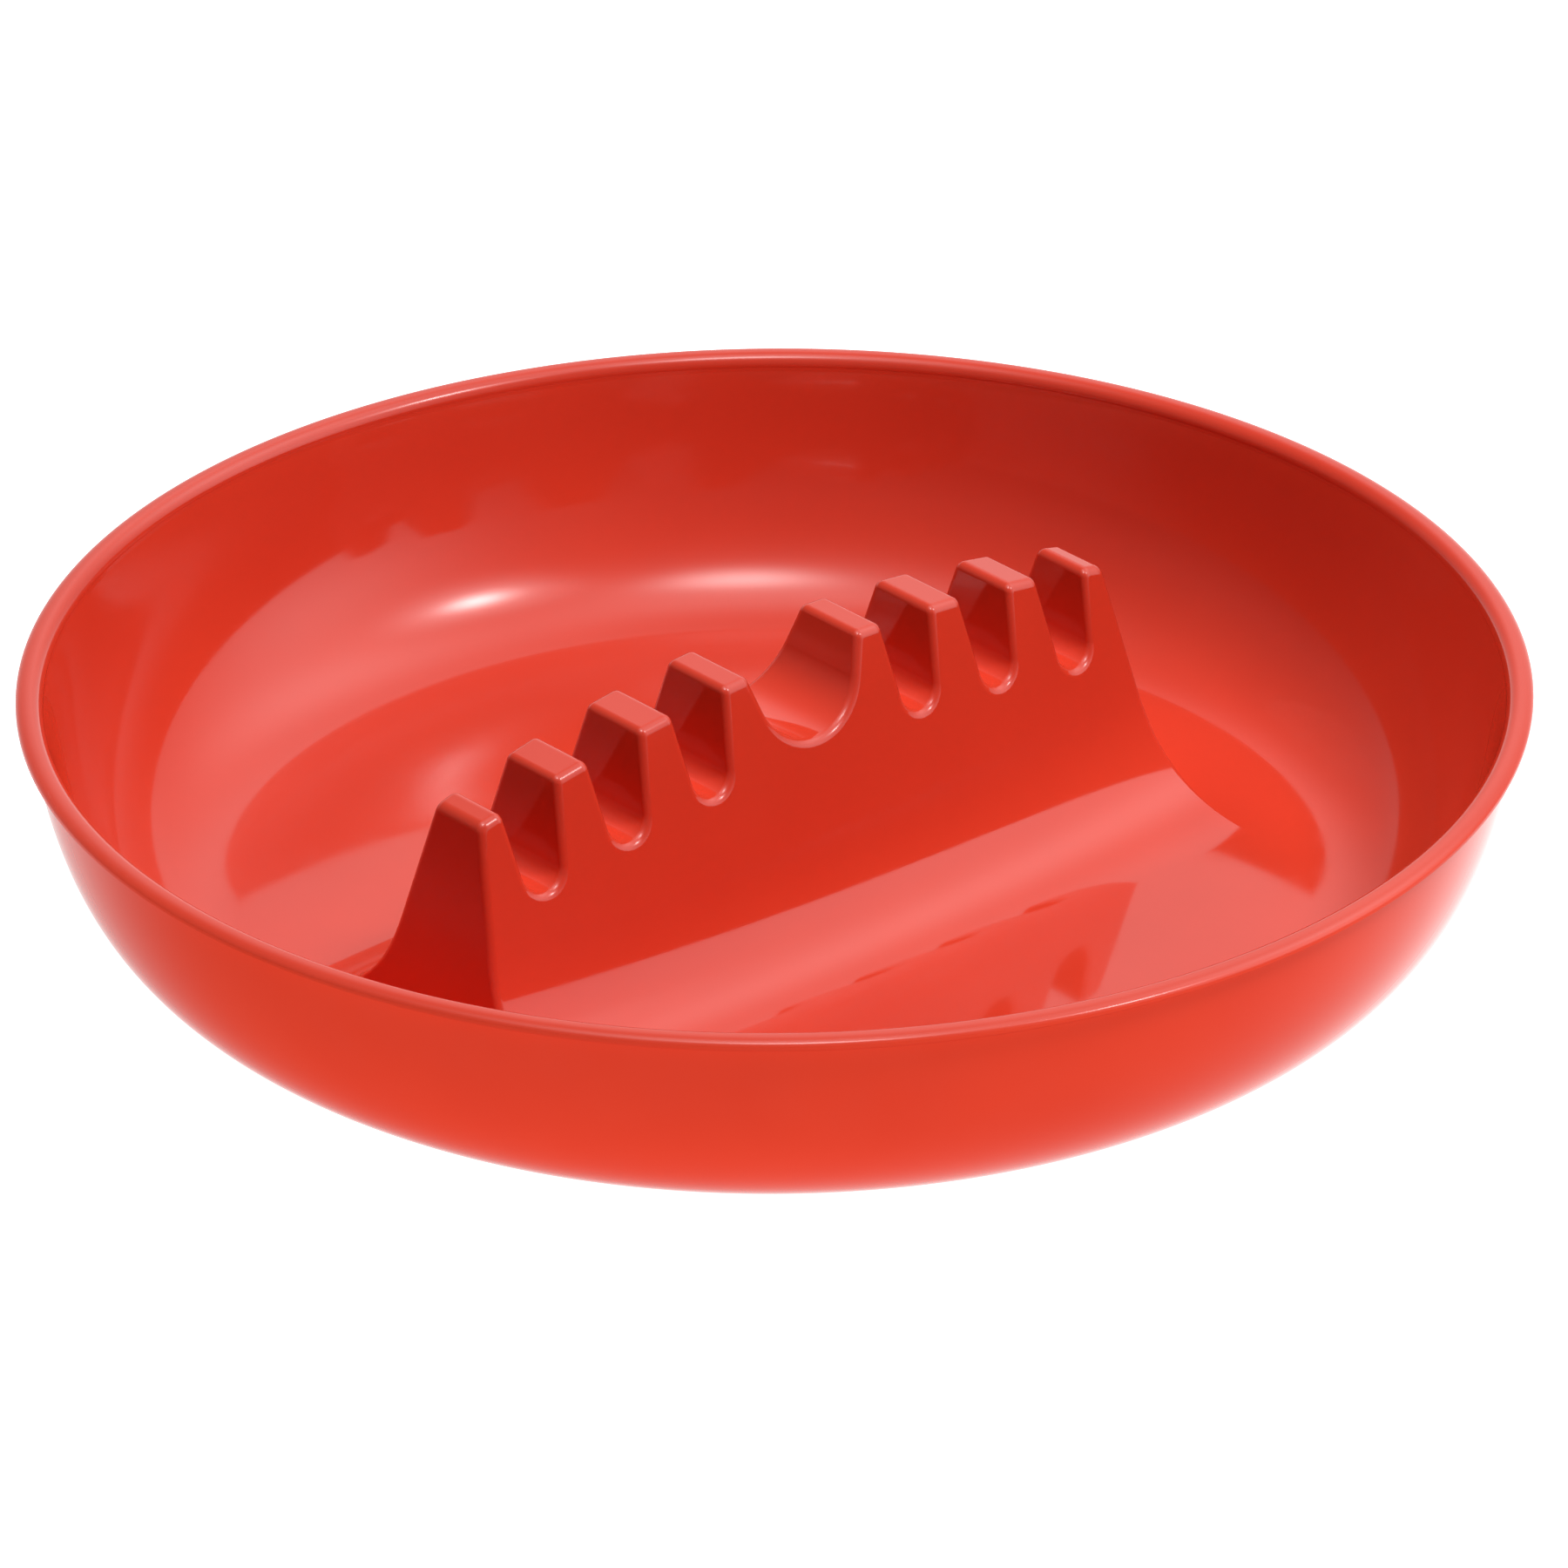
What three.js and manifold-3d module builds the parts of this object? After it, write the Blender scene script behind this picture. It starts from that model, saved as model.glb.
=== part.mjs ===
// Round moulded ashtray: a coved bowl with a rolled rim, a low standing ring and, across
// its middle, an arched rest bar with three cigarette rests on each side of a cigar rest.
// Millimetres, +Z up. Origin on the standing plane, under the middle of the bowl.
// The bar runs along X.

import * as THREE from 'three';
import { mergeVertices } from 'three/addons/utils/BufferGeometryUtils.js';
import Module from 'manifold-3d';

const wasm = await Module();
wasm.setup();

// Driving dimensions
const RIM_RADIUS = 100;          // outside of the rolled rim
const RIM_HEIGHT = 36.6;         // top of the rim above the standing plane
const RIM_WIDTH = 3.6;           // radial width of the rolled rim
const RIM_INNER_DROP = 1.8;      // inner edge of the roll below its crest
const RIM_OUTER_DROP = 0.95;     // outer edge of the roll below its crest
const RIM_LAND = 0.3;            // upright band under the outer edge of the roll
const LIP_REACH = 1.5;           // how far the roll overhangs the wall
const SEAM_DROP = 2.3;           // top of the bowl wall below the crest of the rim

const FLOOR_DEPTH = 33.6;        // crest of the rim down to the bowl floor
const FLOOR_RADIUS = 71.3;       // flat part of the bowl floor
const FLOOR_THICKNESS = 2.2;
const STANDING_RADIUS = 64;      // outside of the standing ring
const STANDING_WIDTH = 2.4;

const GAP = 0.3;                 // clearance between touching pieces
const RING_CHAMFER = 0.3;        // taken off both edges of the standing ring
const SEAM_INSET = 0.1;          // inside of the bowl wall behind the inside of the roll
const ROLL_INSET = 0.05;         // the same for the foot of the roll

const BAR_CROWN_RISE = 5.5;      // middle of the bar above the crest of the rim
const BAR_ARCH_RADIUS = 238;     // arch of the tooth tops and rest bottoms
const BAR_TOP_HALF = 55.2;       // half length at the top of the end teeth
const BAR_FOOT_HALF = 59.9;      // half length on the bowl floor
const BAR_FACE_BOTTOM = 15.5;    // height where the drafted face runs into the flare
const BAR_FACE_HALF = 9.1;       // half thickness of the bar at that height
const BAR_FACE_DRAFT = 0.27;     // half thickness lost for each millimetre of height
const BAR_BELLY = 3;             // how much thicker each face is in the middle
const BAR_FACE_LEVELS = [0.35, 0.7, 1]; // rows of points up the drafted face, as shares of it
const FLARE_REACH = 28.8;        // the flare meets the floor this far from the bar's axis
const HOLLOW_WALL = 2.6;         // wall left round the hollow under the bar
const HOLLOW_ROOF = 15;          // roof of that hollow above the bowl floor
const HOLLOW_BELOW = 1;          // its cutter reaches this far below the underside
const HOLLOW_HALVES = [          // its half width at heights above the bowl floor
  { height: -FLOOR_THICKNESS - HOLLOW_BELOW, half: 17 },
  { height: 0.5, half: 15.4 },
  { height: 3, half: 12.6 },
  { height: 7, half: 9.4 },
  { height: HOLLOW_ROOF, half: 6 },
];
const HOLLOW_BELLY = 0.8;        // share of the bar's belly that the hollow follows

const REST_RADIUS = 3;           // round bottom of a cigarette rest
const REST_DEPTH = 12.9;
const REST_LEAN = 8;             // degrees that its sides lean outwards
const REST_CENTRES = [18.4, 32.8, 47.1];
const CIGAR_RADIUS = 8.3;        // round bottom of the cigar rest
const CIGAR_DEPTH = 11.3;
const CIGAR_LEAN = 18;
const CUTTER_ABOVE = 4;          // the cutters for the rests reach this far above the bar
const CUTTER_WIDTH = 60;         // and this far across it

// Handles of the curved lines: how far each reaches from its end of the curve
const COVE_FOOT_REACH = 20.9;    // inside of the bowl, along the floor
const COVE_TOP_HANDLE = { inwards: 2.4, down: 8.7 };
const WALL_TOP_HANDLE = { radius: RIM_RADIUS - 4.6, down: 18.7 };
const WALL_FOOT_HANDLE_RADIUS = RIM_RADIUS - 9.4;
const WALL_FOOT_INSET = 2;       // the wall's curve ends this far inside the standing ring
const FLARE_FOOT_HANDLE = 15.5;  // foot of the bar's flare, from the bar's axis
const FLARE_TOP_HANDLE = 8;      // down the drafted face

// Facets
const TURN_STEPS = 64;           // round the bowl
const WALL_STEPS = 14;           // up each side of the bowl wall
const ROLL_INNER_STEPS = 5;
const ROLL_OUTER_STEPS = 4;
const FLARE_STEPS = 10;
const REST_ARC_STEPS = 10;
const BAR_STATIONS = 24;         // along the bar
const HOLLOW_STATIONS = 12;      // along its hollow

const RED = [0.76, 0.05, 0.03];  // linear colour of the plastic
const WELD = 1e-4;               // points closer than this become one

const FLOOR_Z = RIM_HEIGHT - FLOOR_DEPTH;
const UNDERSIDE_Z = FLOOR_Z - FLOOR_THICKNESS;
const BAR_TOP_Z = RIM_HEIGHT + BAR_CROWN_RISE;

const moulded = (name) => {
  const material = new THREE.MeshStandardMaterial({
    color: new THREE.Color(...RED),
    roughness: 0.12,
    metalness: 0,
  });
  material.name = name;
  return material;
};

// The geometry's faces as one closed body.
function toSolid(geometry) {
  const bare = geometry.clone();
  bare.deleteAttribute('normal');
  bare.deleteAttribute('uv');
  const merged = mergeVertices(bare, WELD);
  return new wasm.Manifold(new wasm.Mesh({
    numProp: 3,
    vertProperties: new Float32Array(merged.attributes.position.array),
    triVerts: new Uint32Array(merged.index.array),
  }));
}

function toGeometry(solid) {
  const mesh = solid.getMesh();
  const geometry = new THREE.BufferGeometry();
  geometry.setAttribute('position', new THREE.BufferAttribute(mesh.vertProperties, 3));
  geometry.setIndex(new THREE.BufferAttribute(mesh.triVerts, 1));
  geometry.computeVertexNormals();
  return geometry;
}

// Points along a cubic curve, in order, without its first point if joined is true.
function curvePoints(start, startHandle, endHandle, end, steps, joined = false) {
  const curve = new THREE.CubicBezierCurve(
    new THREE.Vector2(...start), new THREE.Vector2(...startHandle),
    new THREE.Vector2(...endHandle), new THREE.Vector2(...end),
  );
  return curve.getPoints(steps).slice(joined ? 1 : 0);
}

// A ring or bowl turned about Z from a closed outline of (radius, height) points.
function turned(outline) {
  const geometry = new THREE.LatheGeometry([...outline, outline[0].clone()], TURN_STEPS);
  geometry.rotateX(Math.PI / 2);
  return toSolid(geometry);
}

const point = (radius, height) => new THREE.Vector2(radius, height);

// Inside of the bowl, from the middle of the floor up to the seam under the rim.
function insideLine(topZ) {
  const topRadius = RIM_RADIUS - RIM_WIDTH - SEAM_INSET;
  return [
    point(0, FLOOR_Z),
    point(FLOOR_RADIUS / 2, FLOOR_Z),
    ...curvePoints(
      [FLOOR_RADIUS, FLOOR_Z], [FLOOR_RADIUS + COVE_FOOT_REACH, FLOOR_Z],
      [topRadius - COVE_TOP_HANDLE.inwards, topZ - COVE_TOP_HANDLE.down], [topRadius, topZ],
      WALL_STEPS,
    ),
  ];
}

// Outside of the bowl, from the seam under the rim down to the middle of the underside.
function outsideLine(topZ) {
  return [
    ...curvePoints(
      [RIM_RADIUS - LIP_REACH, topZ], [WALL_TOP_HANDLE.radius, topZ - WALL_TOP_HANDLE.down],
      [WALL_FOOT_HANDLE_RADIUS, UNDERSIDE_Z], [STANDING_RADIUS - WALL_FOOT_INSET, UNDERSIDE_Z],
      WALL_STEPS,
    ),
    point(FLOOR_RADIUS / 2, UNDERSIDE_Z),
    point(0, UNDERSIDE_Z),
  ];
}

function rimRoll() {
  const middle = RIM_RADIUS - RIM_WIDTH / 2;
  const half = RIM_WIDTH / 2;
  const innerZ = RIM_HEIGHT - RIM_INNER_DROP;
  const outerZ = RIM_HEIGHT - RIM_OUTER_DROP;
  const bottomZ = RIM_HEIGHT - SEAM_DROP + GAP;
  const quarter = Math.PI / 2;
  const inner = new THREE.EllipseCurve(
    middle, innerZ, half, RIM_INNER_DROP, 2 * quarter, quarter, true,
  );
  const outer = new THREE.EllipseCurve(middle, outerZ, half, RIM_OUTER_DROP, quarter, 0, true);
  const outline = [
    ...inner.getPoints(ROLL_INNER_STEPS),
    ...outer.getPoints(ROLL_OUTER_STEPS).slice(1),
    point(RIM_RADIUS, outerZ - RIM_LAND),
    point(RIM_RADIUS - LIP_REACH, outerZ - RIM_LAND),
    point(RIM_RADIUS - LIP_REACH, bottomZ),
    point(RIM_RADIUS - RIM_WIDTH - ROLL_INSET, bottomZ),
  ];
  return turned(outline.reverse());
}

function standingRing() {
  const topZ = UNDERSIDE_Z - GAP;
  const outline = [
    point(STANDING_RADIUS - STANDING_WIDTH, topZ),
    point(STANDING_RADIUS - STANDING_WIDTH + RING_CHAMFER, 0),
    point(STANDING_RADIUS - RING_CHAMFER, 0),
    point(STANDING_RADIUS, topZ),
  ];
  return turned(outline);
}

// Half thickness of the bar at a height above the floor, before its belly is added.
const flare = curvePoints(
  [FLARE_REACH, 0], [FLARE_FOOT_HANDLE, 0],
  [BAR_FACE_HALF + FLARE_TOP_HANDLE * BAR_FACE_DRAFT, BAR_FACE_BOTTOM - FLARE_TOP_HANDLE],
  [BAR_FACE_HALF, BAR_FACE_BOTTOM],
  FLARE_STEPS,
);

// The arch drops by this much at a place along the bar.
const archDrop = (along) => BAR_ARCH_RADIUS - Math.sqrt(BAR_ARCH_RADIUS ** 2 - along ** 2);

// Half length of the bar at a height above the floor: its end faces lean inwards.
function halfLength(height) {
  const topHeight = BAR_TOP_Z - FLOOR_Z - archDrop(BAR_TOP_HALF);
  return BAR_FOOT_HALF + (BAR_TOP_HALF - BAR_FOOT_HALF) * (height / topHeight);
}

// Half thickness of the flare at a height above the floor.
function flareHalf(height) {
  if (height <= 0) return FLARE_REACH;
  const next = flare.findIndex((p) => p.y >= height);
  if (next < 0) return BAR_FACE_HALF;
  const [low, high] = [flare[next - 1], flare[next]];
  return low.x + (high.x - low.x) * ((height - low.y) / (high.y - low.y));
}

// Extra half thickness in the middle of the bar: all of it on the face, none at the flare's foot.
function belly(share, height) {
  const fade = (FLARE_REACH - flareHalf(height)) / (FLARE_REACH - BAR_FACE_HALF);
  return BAR_BELLY * (1 - share * share) * fade;
}

// Section of the bar at a share (-1 to 1) of its half length, as (across, height) points
// from the foot of one face over the top to the foot of the other.
function barSection(share) {
  const top = BAR_TOP_Z - FLOOR_Z - archDrop(share * BAR_TOP_HALF);
  const half = (height) => BAR_FACE_HALF - (height - BAR_FACE_BOTTOM) * BAR_FACE_DRAFT;
  const side = [point(FLARE_REACH, -FLOOR_THICKNESS), ...flare];
  for (const level of BAR_FACE_LEVELS) {
    const height = BAR_FACE_BOTTOM + (top - BAR_FACE_BOTTOM) * level;
    side.push(point(half(height), height));
  }
  const right = side.map((p) => point(p.x + belly(share, p.y), p.y));
  const left = right.map((p) => point(-p.x, p.y)).reverse();
  return [...right, ...left];
}

// A closed body lofted through sections that all have the same number of points.
function lofted(sections) {
  const count = sections[0].length;
  const positions = sections.flat().flatMap((p) => [p.x, p.y, p.z]);
  const index = [];
  for (let row = 0; row < sections.length - 1; row += 1) {
    for (let i = 0; i < count; i += 1) {
      const a = row * count + i;
      const b = row * count + ((i + 1) % count);
      index.push(a, b, a + count, b, b + count, a + count);
    }
  }
  const last = (sections.length - 1) * count;
  const flat = sections[0].map((p) => new THREE.Vector2(p.y, p.z));
  for (const [a, b, c] of THREE.ShapeUtils.triangulateShape(flat, [])) {
    index.push(a, c, b, last + a, last + b, last + c);
  }
  const geometry = new THREE.BufferGeometry();
  geometry.setAttribute('position', new THREE.Float32BufferAttribute(positions, 3));
  geometry.setIndex(index);
  return toSolid(geometry);
}

function barBlank() {
  const sections = [];
  for (let i = 0; i <= BAR_STATIONS; i += 1) {
    const share = -1 + (2 * i) / BAR_STATIONS;
    sections.push(barSection(share).map((p) => (
      new THREE.Vector3(share * halfLength(p.y), p.x, FLOOR_Z + p.y)
    )));
  }
  return lofted(sections);
}

// Cutter for one rest: a round bottom between two leaning sides, open at the top.
function restCutter(centre, radius, depth, lean) {
  const tilt = THREE.MathUtils.degToRad(lean);
  const bottomZ = BAR_TOP_Z - archDrop(centre) - depth;
  const rise = depth + CUTTER_ABOVE - radius;
  const mouth = radius / Math.cos(tilt) + rise * Math.tan(tilt);
  const shape = new THREE.Shape();
  shape.absarc(0, radius, radius, Math.PI + tilt, 2 * Math.PI - tilt, false);
  shape.lineTo(mouth, radius + rise);
  shape.lineTo(-mouth, radius + rise);
  shape.closePath();
  const geometry = new THREE.ExtrudeGeometry(shape, {
    depth: CUTTER_WIDTH, bevelEnabled: false, curveSegments: REST_ARC_STEPS,
  });
  geometry.rotateX(Math.PI / 2);
  geometry.translate(centre, CUTTER_WIDTH / 2, bottomZ);
  return toSolid(geometry);
}

// Hollow under the bar, open on the underside of the bowl.
function barHollow() {
  const sections = [];
  for (let i = 0; i <= HOLLOW_STATIONS; i += 1) {
    const share = -1 + (2 * i) / HOLLOW_STATIONS;
    const right = HOLLOW_HALVES.map(({ height, half }) => (
      [half + belly(share, height) * HOLLOW_BELLY, height]
    ));
    const left = right.map(([across, height]) => [-across, height]).reverse();
    sections.push([...right, ...left].map(([across, height]) => (
      new THREE.Vector3(share * (halfLength(height) - HOLLOW_WALL), across, FLOOR_Z + height)
    )));
  }
  return lofted(sections);
}

function restBar() {
  let bar = barBlank();
  for (const centre of REST_CENTRES) {
    bar = bar.subtract(restCutter(centre, REST_RADIUS, REST_DEPTH, REST_LEAN));
    bar = bar.subtract(restCutter(-centre, REST_RADIUS, REST_DEPTH, REST_LEAN));
  }
  bar = bar.subtract(restCutter(0, CIGAR_RADIUS, CIGAR_DEPTH, CIGAR_LEAN));
  return bar.subtract(barHollow());
}

// Opening in the bowl floor that the foot of the bar fills, with clearance all round.
function barSlot() {
  const length = 2 * (halfLength(-FLOOR_THICKNESS) + GAP);
  const width = 2 * (FLARE_REACH + GAP);
  const height = 2 * FLOOR_THICKNESS;
  const geometry = new THREE.BoxGeometry(length, width, height);
  geometry.translate(0, 0, FLOOR_Z - FLOOR_THICKNESS / 2);
  return toSolid(geometry);
}

function bowl() {
  const topZ = RIM_HEIGHT - SEAM_DROP;
  const outline = [...outsideLine(topZ).reverse(), ...insideLine(topZ).reverse()];
  const geometry = new THREE.LatheGeometry(outline, TURN_STEPS);
  geometry.rotateX(Math.PI / 2);
  return toSolid(geometry);
}

function named(name, solid) {
  const mesh = new THREE.Mesh(toGeometry(solid), moulded(name));
  mesh.name = name;
  return mesh;
}

const ashtray = new THREE.Group();
ashtray.add(named('bowl', bowl().subtract(barSlot())));
ashtray.add(named('rim_roll', rimRoll()));
ashtray.add(named('rest_bar', restBar()));
ashtray.add(named('standing_ring', standingRing()));

export default ashtray;
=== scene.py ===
import math

import bpy
import numpy as np
from mathutils import Matrix, Vector
from mathutils.geometry import tessellate_polygon


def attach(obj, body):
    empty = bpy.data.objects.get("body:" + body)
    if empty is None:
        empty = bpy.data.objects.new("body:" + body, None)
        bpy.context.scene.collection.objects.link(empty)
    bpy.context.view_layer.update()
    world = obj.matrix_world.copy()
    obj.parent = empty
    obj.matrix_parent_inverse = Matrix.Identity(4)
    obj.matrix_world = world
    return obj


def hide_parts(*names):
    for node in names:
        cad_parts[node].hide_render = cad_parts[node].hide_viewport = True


# Round moulded ashtray in glossy red plastic. The sizes of the part are millimetres in the CAD
# frame (+Z up, bar along X, origin on the standing plane) and become metres when a mesh is made.
# The camera and the stage are in metres.

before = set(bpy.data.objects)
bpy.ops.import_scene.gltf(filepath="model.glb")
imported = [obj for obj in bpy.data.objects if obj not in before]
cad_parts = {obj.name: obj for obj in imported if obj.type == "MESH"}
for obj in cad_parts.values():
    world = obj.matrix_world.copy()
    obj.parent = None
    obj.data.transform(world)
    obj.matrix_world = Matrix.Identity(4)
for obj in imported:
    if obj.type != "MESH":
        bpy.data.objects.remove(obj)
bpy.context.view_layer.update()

MM = 0.001
TAU = 2 * math.pi

# Sizes, the same as in the CAD
RIM_RADIUS, RIM_HEIGHT, RIM_WIDTH = 100.0, 36.6, 3.6
RIM_INNER_DROP, RIM_OUTER_DROP, RIM_LAND = 1.8, 0.95, 0.3
LIP_REACH, SEAM_DROP, SEAM_INSET = 1.5, 2.3, 0.1
SEAM_Z = RIM_HEIGHT - SEAM_DROP
FLOOR_Z, FLOOR_THICKNESS, FLOOR_RADIUS = 3.0, 2.2, 71.3
UNDERSIDE_Z = FLOOR_Z - FLOOR_THICKNESS
STANDING_RADIUS, STANDING_WIDTH, RING_CHAMFER = 64.0, 2.4, 0.3
BAR_TOP, BAR_ARCH_RADIUS = 39.1, 238.0          # crown of the bar above the bowl floor, its arch
BAR_TOP_HALF, BAR_FOOT_HALF = 55.2, 59.9
BAR_FACE_BOTTOM, BAR_FACE_HALF, BAR_FACE_DRAFT = 15.5, 9.1, 0.27
BAR_BELLY, FLARE_REACH = 3.0, 28.8
HOLLOW_WALL, HOLLOW_ROOF, HOLLOW_BELOW = 2.6, 15, 1
HOLLOW_BELLY = 0.8                              # share of the bar's belly that the hollow follows
HOLLOW_LEVELS = (-FLOOR_THICKNESS - HOLLOW_BELOW, 0.5, 3, 7, HOLLOW_ROOF)
HOLLOW_HALVES = (17, 15.4, 12.6, 9.4, 6)        # half width of the hollow at those levels
REST_RADIUS, REST_DEPTH, REST_LEAN = 3.0, 12.9, 8.0
REST_CENTRES = (18.4, 32.8, 47.1)
CIGAR_RADIUS, CIGAR_DEPTH, CIGAR_LEAN = 8.3, 11.3, 18.0

# Handles of the curved lines, the same as in the CAD
COVE_FOOT_REACH = 20.9                          # inside of the bowl, along the floor
COVE_TOP_INWARDS, COVE_TOP_DOWN = 2.4, 8.7      # from the top of the wall's inside
WALL_TOP_INWARDS, WALL_TOP_DOWN = 4.6, 18.7     # from the outside of the rim, and from the seam
WALL_FOOT_INWARDS, WALL_FOOT_INSET = 9.4, 2     # from the outsides of the rim and standing ring
FLARE_FOOT_HANDLE, FLARE_TOP_HANDLE = 15.5, 8   # from the bar's axis, and down the drafted face

# Roundings that the CAD leaves out
TOOTH_CORNER, END_CORNER = 1.15, 1.7            # in the outline of the bar, seen from the side
BAR_EDGE = 1.05                                 # between the outline and the bar's faces
EDGE_FULL_HEIGHT, EDGE_GROWTH = 9, 0.8          # that edge grows from nothing up to this height
LEAST_EDGE = 1e-3
SKIRT_DEPTH = 0.3                               # how far the bar's foot is sunk into the floor
FOOT_CLEARANCE = 0.3                            # between added and first kept point of an end

# Steps of the meshes
TURNS = 288                                     # round the bowl
WALL_STEPS, ROLL_STEPS = 72, 40                 # up each side of the wall, across the roll
OUTLINE_SPACING, BEND_DEGREES = 1.2, 7.5        # along the outline of the bar and round its bends
LEAST_BENDS = 3
EDGE_BENDS, FACE_ROWS = 7, 40                   # round the bar's edge and down its face
FLARE_STEPS = 4000                              # fine enough to read the flare off by height
FACE_STRIDE, FOOT_STRIDE = 8, 160               # of those steps, for the face and for the ends
DRAFT_LEVELS = 200                              # up the drafted face above the flare
HOLLOW_STATIONS, HOLLOW_ROWS = 41, 12           # along the hollow and up it
CROSSING_ROUNDS = 20                            # to find where a rest's side meets the arch
WELD_DIGITS = 4                                 # corners that agree to these digits become one
SAME_POINT, NO_LENGTH = 1e-6, 1e-12


class Builder:
    """Collects patches of faces with their own corner normals, then welds them into a mesh."""

    def __init__(self):
        self.faces, self.normals = [], []

    def face(self, corners, normals=None):
        corners = [np.asarray(c, float) for c in corners]
        if normals is None:
            area = np.zeros(3)
            for k in range(1, len(corners) - 1):
                area += np.cross(corners[k] - corners[0], corners[k + 1] - corners[0])
            length = np.linalg.norm(area)
            if length < NO_LENGTH:
                return
            normals = [area / length] * len(corners)
        self.faces.append(corners)
        self.normals.append(normals)

    def grid(self, points, normals=None, close=False):
        """Quads between neighbouring rows and columns of points[row, column]."""
        rows, columns = points.shape[:2]
        for i in range(rows if close else rows - 1):
            n = (i + 1) % rows
            for j in range(columns - 1):
                keys = ((i, j), (n, j), (n, j + 1), (i, j + 1))
                self.face([points[k] for k in keys],
                          None if normals is None else [normals[k] for k in keys])

    def plate(self, outer, hole, upward):
        """A flat face inside one loop and outside another, facing up or down."""
        loops = [[Vector(p) for p in outer], [Vector(p) for p in hole]]
        flat = loops[0] + loops[1]
        for a, b, c in tessellate_polygon(loops):
            p, q, r = (np.array(flat[k]) for k in (a, b, c))
            if (np.cross(q - p, r - p)[2] > 0) != upward:
                q, r = r, q
            self.face([p, q, r], [np.array((0, 0, 1.0 if upward else -1.0))] * 3)

    def build(self, name, material):
        index, points, faces, loops = {}, [], [], []
        for corners, normals in zip(self.faces, self.normals):
            ring, kept = [], []
            for corner, normal in zip(corners, normals):
                key = tuple(np.round(corner, WELD_DIGITS))
                number = index.setdefault(key, len(points))
                if number == len(points):
                    points.append(tuple(corner * MM))
                if number not in ring:
                    ring.append(number)
                    kept.append(normal)
            if len(ring) > 2:
                faces.append(ring)
                loops.extend(kept)
        mesh = bpy.data.meshes.new(name)
        mesh.from_pydata(points, [], faces)
        mesh.polygons.foreach_set("use_smooth", [True] * len(mesh.polygons))
        lengths = np.linalg.norm(loops, axis=1, keepdims=True)
        mesh.normals_split_custom_set((np.array(loops) / lengths).tolist())
        mesh.materials.append(material)
        mesh.update()
        piece = bpy.data.objects.new(name, mesh)
        bpy.context.scene.collection.objects.link(piece)
        return piece


def bezier(a, b, c, d, steps):
    """Points and tangents along a cubic curve in a plane."""
    a, b, c, d = (np.array(p, float) for p in (a, b, c, d))
    t = np.linspace(0, 1, steps + 1)[:, None]
    at = (1 - t) ** 3 * a + 3 * (1 - t) ** 2 * t * b + 3 * (1 - t) * t ** 2 * c + t ** 3 * d
    slope = (1 - t) ** 2 * (b - a) + 2 * (1 - t) * t * (c - b) + t ** 2 * (d - c)
    return at, slope


def turned(builder, outline, tangents):
    """Surface turned about Z from (radius, height) points, facing left of their direction."""
    angle = np.arange(TURNS) * TAU / TURNS
    c, s = np.cos(angle)[:, None], np.sin(angle)[:, None]
    r, z = outline[None, :, 0], outline[None, :, 1]
    points = np.stack(np.broadcast_arrays(r * c, r * s, z), 2)
    length = np.linalg.norm(tangents, axis=1)
    nr, nz = -tangents[:, 1] / length, tangents[:, 0] / length
    normals = np.stack(np.broadcast_arrays(nr * c, nr * s, nz), 2)
    builder.grid(points[:, ::-1], normals[:, ::-1], close=True)


def straight(builder, *corners):
    """The same for straight stretches between corners, which keeps their edges sharp."""
    for stretch in zip(corners, corners[1:]):
        start, end = np.array(stretch, float)
        turned(builder, np.array([start, end]), np.array([end - start, end - start]))


def circle(radius, height):
    angle = np.arange(TURNS) * TAU / TURNS
    return [(radius * math.cos(a), radius * math.sin(a), height) for a in angle]


# ---------------------------------------------------------------- shape of the bar

def arch_drop(along):
    return BAR_ARCH_RADIUS - math.sqrt(BAR_ARCH_RADIUS ** 2 - along ** 2)


END_TOP = BAR_TOP - arch_drop(BAR_TOP_HALF)


def half_length(height):
    return BAR_FOOT_HALF + (BAR_TOP_HALF - BAR_FOOT_HALF) * height / END_TOP


FLARE, FLARE_SLOPE = bezier(
    (FLARE_REACH, 0),
    (FLARE_FOOT_HANDLE, 0),
    (BAR_FACE_HALF + FLARE_TOP_HANDLE * BAR_FACE_DRAFT, BAR_FACE_BOTTOM - FLARE_TOP_HANDLE),
    (BAR_FACE_HALF, BAR_FACE_BOTTOM),
    FLARE_STEPS,
)


def flare_half(height):
    return np.interp(np.sqrt(np.maximum(height, 0)), np.sqrt(FLARE[:, 1]), FLARE[:, 0])


def fade(height):
    """Share of the belly that is left at a height: all on the face, none at the flare's foot."""
    return (FLARE_REACH - flare_half(height)) / (FLARE_REACH - BAR_FACE_HALF)


def bar_half(along, height):
    """Half thickness of the bar at a place on its face."""
    above = BAR_FACE_HALF - (height - BAR_FACE_BOTTOM) * BAR_FACE_DRAFT
    below = flare_half(height)
    share = along / half_length(height)
    flat = np.where(height > BAR_FACE_BOTTOM, above, below)
    return flat + BAR_BELLY * (1 - share ** 2) * fade(height)


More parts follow.
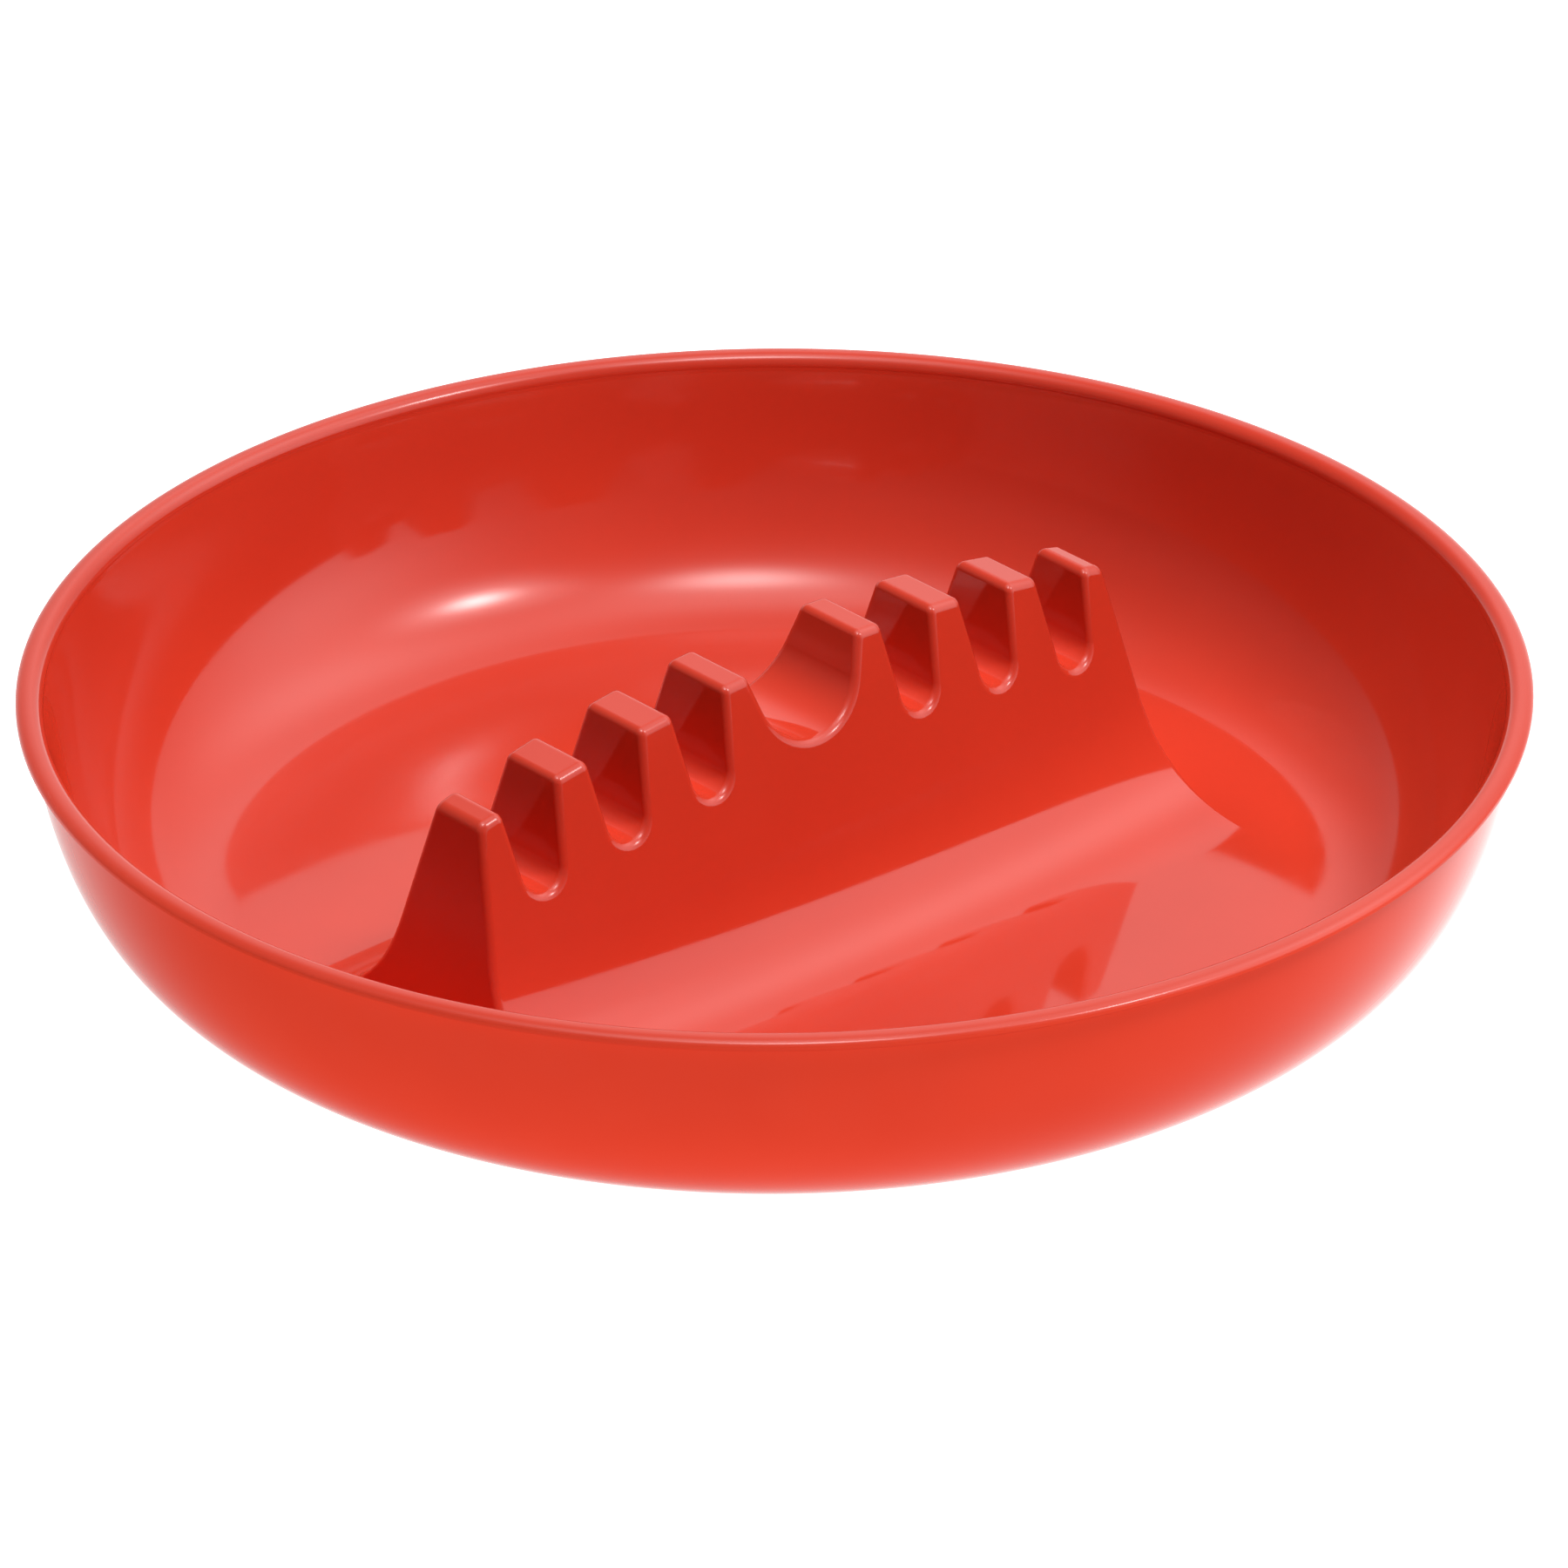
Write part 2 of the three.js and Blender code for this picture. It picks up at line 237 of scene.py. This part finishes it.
def bar_normal(along, height):
    """Normal of the face on the +Y side."""
    step = 0.01
    by_along = (bar_half(along + step, height) - bar_half(along - step, height)) / (2 * step)
    root, roots = np.sqrt(np.maximum(height, 0)), np.sqrt(FLARE[:, 1])
    rise = np.interp(root, roots, FLARE_SLOPE[:, 1])
    run = np.interp(root, roots, FLARE_SLOPE[:, 0])
    length = np.hypot(rise, run)
    upper = height > BAR_FACE_BOTTOM
    rise = np.where(upper, 1.0, rise / length)
    run = np.where(upper, -BAR_FACE_DRAFT, run / length)
    share = along / half_length(height)
    swell = BAR_BELLY * (1 - share ** 2) * (fade(height + step) - fade(height - step)) / (2 * step)
    normal = np.stack([-by_along * rise, rise, -run - swell * rise], -1)
    return normal / np.linalg.norm(normal, axis=-1, keepdims=True)


# Distance up the face from its foot, for rows of even spacing
DRAFT_HEIGHTS = np.linspace(BAR_FACE_BOTTOM, BAR_TOP, DRAFT_LEVELS)
FACE_HEIGHTS = np.concatenate([FLARE[::FACE_STRIDE, 1], DRAFT_HEIGHTS[1:]])
FACE_OUT = bar_half(np.zeros_like(FACE_HEIGHTS), FACE_HEIGHTS)
FACE_RUN = np.concatenate([[0], np.cumsum(np.hypot(np.diff(FACE_HEIGHTS), np.diff(FACE_OUT)))])


def rounded_path(corners, spacing):
    """Points and outward normals along a path of (x, height, radius) corners with rounded turns."""
    path = [np.array(c[:2], float) for c in corners]
    points, normals = [], []

    def add(point, normal):
        if not points or np.linalg.norm(points[-1] - point) > SAME_POINT:
            points.append(point)
            normals.append(normal)

    start = path[0]
    for k in range(1, len(path)):
        along = (path[k] - path[k - 1]) / np.linalg.norm(path[k] - path[k - 1])
        left = np.array((-along[1], along[0]))
        if k == len(path) - 1:
            end, ahead = path[k], None
        else:
            ahead = (path[k + 1] - path[k]) / np.linalg.norm(path[k + 1] - path[k])
            turn = math.atan2(along[0] * ahead[1] - along[1] * ahead[0], along @ ahead)
            cut = corners[k][2] * math.tan(abs(turn) / 2)
            end = path[k] - along * cut
        pieces = max(1, math.ceil(np.linalg.norm(end - start) / spacing))
        for i in range(pieces + 1):
            add(start + (end - start) * i / pieces, left)
        if ahead is not None:
            side = math.copysign(corners[k][2], turn)
            centre = end + left * side
            bends = max(LEAST_BENDS, math.ceil(math.degrees(abs(turn)) / BEND_DEGREES))
            for i in range(1, bends + 1):
                angle = turn * i / bends
                c, s = math.cos(angle), math.sin(angle)
                normal = np.array((c * left[0] - s * left[1], s * left[0] + c * left[1]))
                add(centre - normal * side, normal)
            start = path[k] + ahead * cut
    return np.array(points), np.array(normals)


def rest_corners(centre, radius, depth, lean):
    """The two top corners of a rest and the point where its sides would meet below it."""
    tilt = math.radians(lean)
    apex = BAR_TOP - arch_drop(centre) - depth + radius - radius / math.sin(tilt)
    tops = []
    for side in (-1, 1):
        height = BAR_TOP
        for _ in range(CROSSING_ROUNDS):
            x = centre + side * (height - apex) * math.tan(tilt)
            height = BAR_TOP - arch_drop(x)
        tops.append((x, height, TOOTH_CORNER))
    return [tops[0], (centre, apex, radius), tops[1]]


def bar_outline():
    rests = [(-c, REST_RADIUS, REST_DEPTH, REST_LEAN) for c in reversed(REST_CENTRES)]
    rests.append((0, CIGAR_RADIUS, CIGAR_DEPTH, CIGAR_LEAN))
    rests += [(c, REST_RADIUS, REST_DEPTH, REST_LEAN) for c in REST_CENTRES]
    corners = [(-BAR_FOOT_HALF, 0, 0), (-BAR_TOP_HALF, END_TOP, END_CORNER)]
    for rest in rests:
        corners += rest_corners(*rest)
    corners += [(BAR_TOP_HALF, END_TOP, END_CORNER), (BAR_FOOT_HALF, 0, 0)]
    return rounded_path(corners, OUTLINE_SPACING)


def refined_feet(points, normals):
    """More points near the feet of the end faces, where the flare spreads fast."""
    first = next(k for k in range(len(points)) if points[k][1] > BAR_FACE_BOTTOM)
    heights = FLARE[::FOOT_STRIDE, 1]
    heights = heights[heights < points[first][1] - FOOT_CLEARANCE]
    foot = np.stack([-half_length(heights), heights], 1)
    n = len(foot)
    points = np.concatenate([foot, points[first:-first], foot[::-1] * (-1, 1)])
    flip = np.repeat([normals[-1]], n, 0)
    normals = np.concatenate([np.repeat([normals[0]], n, 0), normals[first:-first], flip])
    return points, normals


def hollow_sections(shares, heights):
    """Points of the +Y wall of the hollow under the bar, for shares of its length by heights."""
    grid = np.zeros((len(shares), len(heights), 3))
    for j, height in enumerate(heights):
        base = np.interp(height, HOLLOW_LEVELS, HOLLOW_HALVES)
        for i, share in enumerate(shares):
            swell = BAR_BELLY * (1 - share ** 2) * fade(height) * HOLLOW_BELLY
            along = share * (half_length(height) - HOLLOW_WALL)
            grid[i, j] = (along, base + swell, FLOOR_Z + height)
    return grid


HOLLOW_SHARES = np.linspace(-1, 1, HOLLOW_STATIONS)


def mouth_loop(height):
    """Outline of the hollow at one height, all the way round."""
    side = hollow_sections(HOLLOW_SHARES, [height])[:, 0]
    other = side[::-1] * (1, -1, 1)
    return np.concatenate([side, other])


def across(normals):
    """Normals of the outline as directions in space."""
    return np.stack([normals[:, 0], np.zeros(len(normals)), normals[:, 1]], 1)


def edge_bend(points, normals, side):
    """Rounded edge from the outline to the face on one side, with its normals."""
    x, height = points[:, 0], points[:, 1]
    edge = BAR_EDGE * np.clip(height / EDGE_FULL_HEIGHT, 0, 1) ** EDGE_GROWTH + LEAST_EDGE
    bend = np.zeros((len(points), EDGE_BENDS + 1, 3))
    bend_normal = np.zeros_like(bend)
    for k, angle in enumerate(np.linspace(0, math.pi / 2, EDGE_BENDS + 1)):
        px = x - normals[:, 0] * edge * (1 - math.cos(angle))
        ph = np.maximum(height - normals[:, 1] * edge * (1 - math.cos(angle)), 0)
        py = side * (bar_half(px, ph) - edge * (1 - math.sin(angle)))
        bend[:, k] = np.stack([px, py, FLOOR_Z + ph], 1)
        face = bar_normal(px, ph) * (1, side, 1)
        bend_normal[:, k] = math.cos(angle) * across(normals) + math.sin(angle) * face
    return bend, bend_normal


def face_below(brink, side):
    """The bar's face from a line of points along its brink down to the floor, with its normals."""
    px, top = brink[:, 0], brink[:, 2] - FLOOR_Z
    reach = np.interp(top, FACE_HEIGHTS, FACE_RUN)
    face = np.zeros((len(brink), FACE_ROWS + 1, 3))
    face_normal = np.zeros_like(face)
    for k in range(FACE_ROWS + 1):
        ph = np.interp(reach * (1 - k / FACE_ROWS), FACE_RUN, FACE_HEIGHTS)
        ph = top if k == 0 else ph
        face[:, k] = np.stack([px, side * bar_half(px, ph), FLOOR_Z + ph], 1)
        face_normal[:, k] = bar_normal(px, ph) * (1, side, 1)
    return face, face_normal


def add_foot(builder, toe):
    """Ends of the skirt, and the underside between it and the mouth of the hollow."""
    low = np.array((0, 0, SKIRT_DEPTH))
    for end in (0, -1):
        a, b = toe[end], toe[end] * (1, -1, 1)
        ring = [a, a - low, b - low, b]
        builder.face(ring if end == -1 else ring[::-1])
    loop = list(toe - low)
    outer = loop + [p * (1, -1, 1) for p in reversed(loop)]
    builder.plate(outer, mouth_loop(-SKIRT_DEPTH), False)


def add_hollow(builder):
    """Walls, roof and ends of the hollow."""
    first = HOLLOW_LEVELS[1]
    levels = np.concatenate([[-SKIRT_DEPTH], np.linspace(first, HOLLOW_ROOF, HOLLOW_ROWS)])
    wall = hollow_sections(HOLLOW_SHARES, levels)
    mirrored = wall * (1, -1, 1)
    builder.grid(wall[::-1])
    builder.grid(mirrored)
    roof = np.stack([wall[:, -1], mirrored[:, -1]], 1)
    builder.grid(roof[::-1])
    for end in (0, -1):
        cap = np.stack([wall[end], mirrored[end]], 1)
        builder.grid(cap if end == 0 else cap[::-1])


def bar_piece(material):
    builder = Builder()
    points, normals = refined_feet(*bar_outline())
    brinks = {}
    for side in (1, -1):
        bend, bend_normal = edge_bend(points, normals, side)
        face, face_normal = face_below(bend[:, -1], side)
        skirt = np.stack([face[:, -1], face[:, -1] - (0, 0, SKIRT_DEPTH)], 1)
        order = slice(None, None, side)
        builder.grid(bend[order], bend_normal[order])
        builder.grid(face[order], face_normal[order])
        builder.grid(skirt[order])
        brinks[side] = bend[:, 0]
        if side > 0:
            toe = face[:, -1]
    # Top of the outline, across the bar
    out = across(normals)
    builder.grid(np.stack([brinks[-1], brinks[1]], 1), np.stack([out, out], 1))
    add_foot(builder, toe)
    add_hollow(builder)
    return builder.build("rest_bar_moulding", material)


# ---------------------------------------------------------------- bowl, rim and ring

def bowl_piece(material):
    builder = Builder()
    top_radius = RIM_RADIUS - RIM_WIDTH - SEAM_INSET
    foot_radius = STANDING_RADIUS - WALL_FOOT_INSET
    inner, slope = bezier(
        (FLOOR_RADIUS, FLOOR_Z),
        (FLOOR_RADIUS + COVE_FOOT_REACH, FLOOR_Z),
        (top_radius - COVE_TOP_INWARDS, SEAM_Z - COVE_TOP_DOWN),
        (top_radius, SEAM_Z),
        WALL_STEPS,
    )
    turned(builder, inner, slope)
    outer, slope = bezier(
        (RIM_RADIUS - LIP_REACH, SEAM_Z),
        (RIM_RADIUS - WALL_TOP_INWARDS, SEAM_Z - WALL_TOP_DOWN),
        (RIM_RADIUS - WALL_FOOT_INWARDS, UNDERSIDE_Z),
        (foot_radius, UNDERSIDE_Z),
        WALL_STEPS,
    )
    turned(builder, outer, slope)
    straight(builder, (top_radius, SEAM_Z), (RIM_RADIUS - LIP_REACH, SEAM_Z))
    high, low = mouth_loop(0), mouth_loop(-FLOOR_THICKNESS)
    builder.plate(circle(FLOOR_RADIUS, FLOOR_Z), high, True)
    builder.plate(circle(foot_radius, UNDERSIDE_Z), low, False)
    builder.grid(np.stack([low, high], 1), close=True)
    return builder.build("bowl_moulding", material)


def rim_piece(material):
    builder = Builder()
    middle, half = RIM_RADIUS - RIM_WIDTH / 2, RIM_WIDTH / 2
    inner_z, outer_z = RIM_HEIGHT - RIM_INNER_DROP, RIM_HEIGHT - RIM_OUTER_DROP
    outline, tangents = [], []
    for angle in np.linspace(math.pi, 0, ROLL_STEPS + 1):
        inside = angle > math.pi / 2
        drop, centre = (RIM_INNER_DROP, inner_z) if inside else (RIM_OUTER_DROP, outer_z)
        outline.append((middle + half * math.cos(angle), centre + drop * math.sin(angle)))
        tangents.append((half * math.sin(angle), -drop * math.cos(angle)))
    turned(builder, np.array(outline), np.array(tangents))
    inside_foot = (RIM_RADIUS - RIM_WIDTH - SEAM_INSET, SEAM_Z)
    land_z = outer_z - RIM_LAND
    straight(builder, inside_foot, outline[0])
    straight(builder, (RIM_RADIUS, outer_z), (RIM_RADIUS, land_z), (RIM_RADIUS - LIP_REACH, land_z),
             (RIM_RADIUS - LIP_REACH, SEAM_Z), inside_foot)
    return builder.build("rim_moulding", material)


def ring_piece(material):
    builder = Builder()
    outer, inner = STANDING_RADIUS, STANDING_RADIUS - STANDING_WIDTH
    straight(builder, (inner, RING_CHAMFER), (inner, UNDERSIDE_Z), (outer, UNDERSIDE_Z),
             (outer, RING_CHAMFER), (outer - RING_CHAMFER, 0), (inner + RING_CHAMFER, 0),
             (inner, RING_CHAMFER))
    return builder.build("standing_ring_moulding", material)


# ---------------------------------------------------------------- material

PIGMENT = ((0.60, 0.040, 0.018, 1), (0.63, 0.045, 0.020, 1))    # deepest and palest red
GLOSS = (0.05, 0.09)                            # roughness, clearest and haziest
CLOUDS = {"Scale": 28, "Detail": 3}             # noise textures, in features per metre
HAZE = {"Scale": 160, "Detail": 4, "Roughness": 0.6}
RIPPLE = {"Scale": 60, "Detail": 1}
NOISE_LOW, NOISE_HIGH = 0.3, 0.7                # most of a noise texture lies between these
RIPPLE_STRENGTH, RIPPLE_HEIGHT = 0.5, 0.00003   # height in metres
REFRACTION, SPECULAR_LEVEL = 1.5, 0.6


def red_plastic():
    material = bpy.data.materials.new("red_gloss_plastic")
    material.use_nodes = True
    nodes, links = material.node_tree.nodes, material.node_tree.links
    nodes.clear()

    def noise(values):
        made = nodes.new("ShaderNodeTexNoise")
        for key, value in values.items():
            made.inputs[key].default_value = value
        links.new(place.outputs["Object"], made.inputs["Vector"])
        return made.outputs[0]

    place = nodes.new("ShaderNodeTexCoord")
    shader = nodes.new("ShaderNodeBsdfPrincipled")
    output = nodes.new("ShaderNodeOutputMaterial")
    links.new(shader.outputs[0], output.inputs["Surface"])

    # Colour: pigment clouds a few centimetres across
    tint = nodes.new("ShaderNodeValToRGB")
    for element, at, colour in zip(tint.color_ramp.elements, (NOISE_LOW, NOISE_HIGH), PIGMENT):
        element.position, element.color = at, colour
    links.new(noise(CLOUDS), tint.inputs[0])
    links.new(tint.outputs[0], shader.inputs["Base Color"])

    # Gloss: faint haze left by the mould, in patches
    spread = nodes.new("ShaderNodeMapRange")
    spread.inputs["From Min"].default_value = NOISE_LOW
    spread.inputs["From Max"].default_value = NOISE_HIGH
    spread.inputs["To Min"].default_value, spread.inputs["To Max"].default_value = GLOSS
    links.new(noise(HAZE), spread.inputs["Value"])
    links.new(spread.outputs[0], shader.inputs["Roughness"])

    # Relief: the very slight ripple of a moulded skin
    bump = nodes.new("ShaderNodeBump")
    bump.inputs["Strength"].default_value = RIPPLE_STRENGTH
    bump.inputs["Distance"].default_value = RIPPLE_HEIGHT
    links.new(noise(RIPPLE), bump.inputs["Height"])
    links.new(bump.outputs[0], shader.inputs["Normal"])

    shader.inputs["IOR"].default_value = REFRACTION
    shader.inputs["Specular IOR Level"].default_value = SPECULAR_LEVEL
    return material


# ---------------------------------------------------------------- pieces

red = red_plastic()
for piece, node_name in (
    (bowl_piece(red), "bowl"),
    (rim_piece(red), "rim_roll"),
    (bar_piece(red), "rest_bar"),
    (ring_piece(red), "standing_ring"),
):
    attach(piece, "root")
    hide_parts(node_name)


# ---------------------------------------------------------------- camera

AIM_Z = RIM_HEIGHT * MM
CAMERA_DISTANCE = 1.80006
CAMERA_HEIGHT_ANGLE = 0.475973        # above the horizon, radians
VIEW_TURN = math.radians(41.77)       # from the picture's right to the bar, going away
LENS, SENSOR_WIDTH = 313.55, 36       # millimetres
PAN, TILT, ROLL = -0.000653, -0.007912, 0.0058263     # radians, from aiming at the rim's middle
NEAR_CLIP, FAR_CLIP = 0.05, 30

RIGHT = Vector((math.cos(VIEW_TURN), -math.sin(VIEW_TURN), 0))
AWAY = Vector((math.sin(VIEW_TURN), math.cos(VIEW_TURN), 0))
UP = Vector((0, 0, 1))


def toward(azimuth, elevation):
    """Direction at degrees clockwise from straight behind the object, and above the horizon."""
    a, e = math.radians(azimuth), math.radians(elevation)
    return (RIGHT * math.sin(a) + AWAY * math.cos(a)) * math.cos(e) + UP * math.sin(e)


def make_camera():
    place = -AWAY * math.cos(CAMERA_HEIGHT_ANGLE) + UP * math.sin(CAMERA_HEIGHT_ANGLE)
    look = -place
    right, up = RIGHT.copy(), RIGHT.cross(look)
    turn = Matrix.Rotation(PAN, 3, up)
    look, right = turn @ look, turn @ right
    turn = Matrix.Rotation(TILT, 3, right)
    look, up = turn @ look, turn @ up
    turn = Matrix.Rotation(ROLL, 3, look)
    right, up = turn @ right, turn @ up
    data = bpy.data.cameras.new("camera")
    data.lens, data.sensor_width = LENS, SENSOR_WIDTH
    data.clip_start, data.clip_end = NEAR_CLIP, FAR_CLIP
    camera = bpy.data.objects.new("camera", data)
    matrix = Matrix((right, up, -look)).transposed().to_4x4()
    matrix.translation = place * CAMERA_DISTANCE + UP * AIM_Z
    camera.matrix_world = matrix
    bpy.context.scene.collection.objects.link(camera)
    bpy.context.scene.camera = camera


make_camera()


# ---------------------------------------------------------------- stage

SOFT_LIGHTS = (                       # name, azimuth, elevation (degrees), width (m), power (W)
    ("key", 113, 56, 0.55, 20),
    ("overhead", 0, 86, 0.55, 9.5),
    ("left_fill", 315, 32, 0.6, 9),
)
SOFT_LIGHT_DISTANCE = 1.5

REFLECTED = (                         # azimuth, elevation (degrees), tightness, strength
    (113, 50, 420, 14.0),             # key lamp
    (113, 50, 70, 4.2),               # the cloth of its softbox
    (170, 70, 110, 7.0),              # second softbox, nearly overhead
    (180, 80, 14, 2.2),               # ceiling in front
    (97, 20, 9, 1.5),                 # bright wall to the right
    (5, 40, 16, 0.8),                 # wall behind
    (62, 49, 14, 1.9),                # and between the two, higher up
    (35, -48, 6, 0.45),               # white table to the right
    (18, -16, 7, 1.5),                # white sweep behind the object
    (325, -12, 12, 1.0),              # the same, to the left
)
ROOM = 0.15                           # dim room above the table, seen only in the gloss

# Heights of directions, from -1 straight down to 1 straight up, over which lights come and go
ROOM_FADE = (-0.05, 0.3)
TABLE_FADE = (-0.3, 0.1)
SHADE_FADE = (-1, -0.2)
TABLE_GLOW = 3.0                      # light that comes up off the white table
SHADE_SHARE = 0.4                     # share of it that comes from straight below

TABLE_SIZE = 12
TABLE_WHITE, TABLE_ROUGHNESS = (0.9, 0.9, 0.9, 1), 0.9
WHITE = (1, 1, 1, 1)


def soft_light(name, azimuth, elevation, width, power):
    """Large round lamp that faces the middle of the bowl and isn't mirrored in it."""
    data = bpy.data.lights.new(name, "AREA")
    data.shape, data.size, data.energy = "DISK", width, power
    light = bpy.data.objects.new(name, data)
    light.visible_glossy = False
    direction = toward(azimuth, elevation)
    light.location = direction * SOFT_LIGHT_DISTANCE + UP * AIM_Z
    light.rotation_euler = direction.to_track_quat("Z", "Y").to_euler()
    bpy.context.scene.collection.objects.link(light)


def surroundings():
    """World of soft patches of light: what the plastic mirrors, and the glow off the table."""
    world = bpy.data.worlds.new("studio")
    bpy.context.scene.world = world
    world.use_nodes = True
    world.cycles.sampling_method = "NONE"     # so that the kind of ray is always known
    nodes, links = world.node_tree.nodes, world.node_tree.links
    place = nodes.new("ShaderNodeTexCoord")

    def math_node(operation, *values):
        made = nodes.new("ShaderNodeMath")
        made.operation = operation
        for socket, value in zip(made.inputs, values):
            if isinstance(value, (int, float)):
                socket.default_value = value
            else:
                links.new(value, socket)
        return made.outputs[0]

    height = nodes.new("ShaderNodeSeparateXYZ")
    links.new(place.outputs["Generated"], height.inputs[0])

    def by_height(fade_range, at_low, at_high):
        made = nodes.new("ShaderNodeMapRange")
        made.inputs["From Min"].default_value, made.inputs["From Max"].default_value = fade_range
        made.inputs["To Min"].default_value, made.inputs["To Max"].default_value = at_low, at_high
        links.new(height.outputs["Z"], made.inputs["Value"])
        return made.outputs[0]

    mirrored = by_height(ROOM_FADE, 0, ROOM)
    for azimuth, elevation, tightness, strength in REFLECTED:
        cosine = nodes.new("ShaderNodeVectorMath")
        cosine.operation = "DOT_PRODUCT"
        cosine.inputs[1].default_value = toward(azimuth, elevation)
        links.new(place.outputs["Generated"], cosine.inputs[0])
        power = math_node("MULTIPLY_ADD", cosine.outputs["Value"], tightness, -tightness)
        mirrored = math_node("MULTIPLY_ADD", math_node("EXPONENT", power), strength, mirrored)

    ray = nodes.new("ShaderNodeLightPath")
    shaded = by_height(SHADE_FADE, SHADE_SHARE * TABLE_GLOW, TABLE_GLOW)
    strength = math_node("MULTIPLY", ray.outputs["Is Diffuse Ray"], by_height(TABLE_FADE, 1, 0))
    strength = math_node("MULTIPLY", strength, shaded)
    strength = math_node("MULTIPLY_ADD", ray.outputs["Is Glossy Ray"], mirrored, strength)
    strength = math_node("ADD", ray.outputs["Is Camera Ray"], strength)
    links.new(strength, nodes["Background"].inputs["Strength"])
    nodes["Background"].inputs["Color"].default_value = WHITE


def stage():
    bpy.ops.mesh.primitive_plane_add(size=TABLE_SIZE, location=(0, 0, 0))
    floor = bpy.context.object
    floor.name = "floor"
    paint = bpy.data.materials.new("floor_white")
    paint.use_nodes = True
    shader = paint.node_tree.nodes["Principled BSDF"]
    shader.inputs["Base Color"].default_value = TABLE_WHITE
    shader.inputs["Roughness"].default_value = TABLE_ROUGHNESS
    shader.inputs["Specular IOR Level"].default_value = 0
    shader.inputs["Emission Color"].default_value = WHITE
    shader.inputs["Emission Strength"].default_value = 1
    floor.data.materials.append(paint)
    # Overexposed sweep: it shows as plain white and the world stands in for its light
    floor.visible_diffuse = floor.visible_glossy = floor.visible_shadow = False

    surroundings()
    for light in SOFT_LIGHTS:
        soft_light(*light)


stage()
bpy.context.scene.view_settings.view_transform = "Standard"
